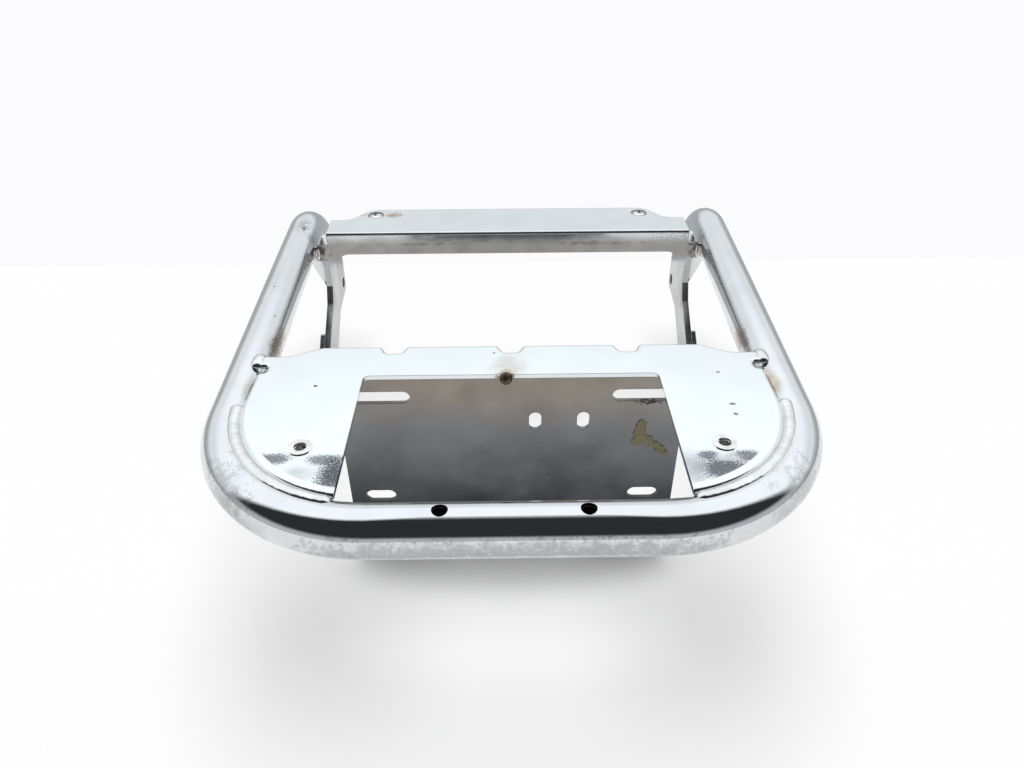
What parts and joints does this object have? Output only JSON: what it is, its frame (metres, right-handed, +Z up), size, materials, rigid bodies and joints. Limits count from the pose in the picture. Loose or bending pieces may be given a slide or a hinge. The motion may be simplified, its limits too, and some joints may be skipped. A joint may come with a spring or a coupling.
{
  "type": "luggage mounting rack",
  "caption": "Chromed steel rack that carries a motorcycle luggage box: bent tube loop, rear deck plate, front cross rail, side arms and a hanging number plate bracket.",
  "frame": {"origin": "midway between the two rear pack bolt holes, on the deck plate's top plane", "axes": "X to the right, Y forward along the motorcycle, Z up; the rack lies level"},
  "size_m": [0.3172, 0.3685, 0.1303],
  "materials": {
    "chrome": "bright chrome, pitted and spotted with rust in places",
    "bracket_steel": "dull chrome, stained, with a scrap of old tape",
    "weld_bead": "rippled weld under thin chrome, brown with rust",
    "insert_steel": "plain plated steel, dark in the thread"
  },
  "bodies": {
    "root": {"loop_tube": "chrome", "rear_deck_plate": "chrome", "front_cross_rail": "chrome", "number_plate_bracket": "bracket_steel", "tube_end_cap_left": "chrome", "threaded_insert_left": "insert_steel", "side_arm_left": "chrome", "arm_doubler_left": "chrome", "deck_edge_weld_left": "weld_bead", "ear_weld_left": "weld_bead", "rail_end_weld_left": "weld_bead", "arm_rear_weld_left": "weld_bead", "arm_front_weld_left": "weld_bead", "tube_end_cap_right": "chrome", "threaded_insert_right": "insert_steel", "side_arm_right": "chrome", "arm_doubler_right": "chrome", "deck_edge_weld_right": "weld_bead", "ear_weld_right": "weld_bead", "rail_end_weld_right": "weld_bead", "arm_rear_weld_right": "weld_bead", "arm_front_weld_right": "weld_bead", "bracket_tack_weld": "weld_bead"}
  },
  "joints": []
}
